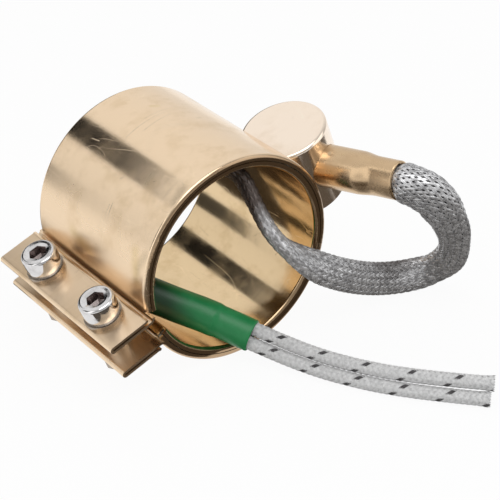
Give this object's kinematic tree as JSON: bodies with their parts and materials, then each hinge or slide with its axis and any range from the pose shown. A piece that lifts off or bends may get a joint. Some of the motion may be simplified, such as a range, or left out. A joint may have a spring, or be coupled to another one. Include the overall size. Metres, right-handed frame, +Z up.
{
  "type": "band heater",
  "caption": "Cylindrical brass clamp-on heater band with two clamping screws, a drum-shaped terminal box and a metal-braided lead ending in two wires.",
  "frame": {"origin": "middle of the bore, on its axis", "axes": "+Y along the bore axis towards the rear face, +Z up with the band lying on its side, clamp ears towards -X"},
  "size_m": [0.0978, 0.0961, 0.0512],
  "materials": {
    "brass_sheath": "thin rolled brass sheet, polished, with fine scratches and faint heat stains",
    "brass_lining": "plain rolled brass sheet, a little darker and warmer than the outside",
    "brass_box": "drawn brass, polished top and darker side",
    "brass_tube": "brass tube pressed round the lead",
    "mica": "bonded mica board, matt",
    "resistance_alloy": "bare nickel-chromium ribbon",
    "bright_steel": "bright zinc-plated steel",
    "plain_steel": "plain plated steel, dull",
    "ceramic": "unglazed steatite",
    "nickel": "nickel, drawn",
    "glass_yarn": "braided glass-fibre insulation, white with dark tracer threads",
    "metal_braid": "flat tubular braid of fine bright steel wire",
    "green_sleeve": "shrunk polyolefin sleeve, dark green, semi-matt"
  },
  "bodies": {
    "heater": {"outer_sheath": "brass_sheath", "inner_sheath": "brass_lining", "inner_mica": "mica", "heating_ribbon": "resistance_alloy", "outer_mica": "mica", "screw_washer_front": "plain_steel", "screw_washer_rear": "plain_steel", "clamp_nut_front": "plain_steel", "clamp_nut_rear": "plain_steel", "terminal_box": "brass_box", "terminal_cover": "brass_box", "outlet_tube": "brass_tube", "terminal_bushing": "ceramic", "terminal_tab_1": "nickel", "terminal_tab_2": "nickel", "splice_crimp_1": "nickel", "splice_crimp_2": "nickel", "lead_conductor_1": "nickel", "lead_conductor_2": "nickel", "inner_lead_1": "glass_yarn", "inner_lead_2": "glass_yarn", "lead_braid": "metal_braid", "heat_shrink_sleeve": "green_sleeve", "lead_wire_1": "glass_yarn", "lead_wire_2": "glass_yarn"},
    "front_screw": {"clamp_screw_front": "bright_steel"},
    "rear_screw": {"clamp_screw_rear": "bright_steel"}
  },
  "joints": [
    {"name": "front_screw_turn", "type": "hinge", "parent": "heater", "child": "front_screw", "pos_m": [-0.02992, -0.0149, -0.01107], "axis": [-0.3469, 0, 0.9379], "range_deg": [-720, 0]},
    {"name": "rear_screw_turn", "type": "hinge", "parent": "heater", "child": "rear_screw", "pos_m": [-0.02992, 0.0095, -0.01107], "axis": [-0.3469, 0, 0.9379], "range_deg": [-720, 0]}
  ]
}
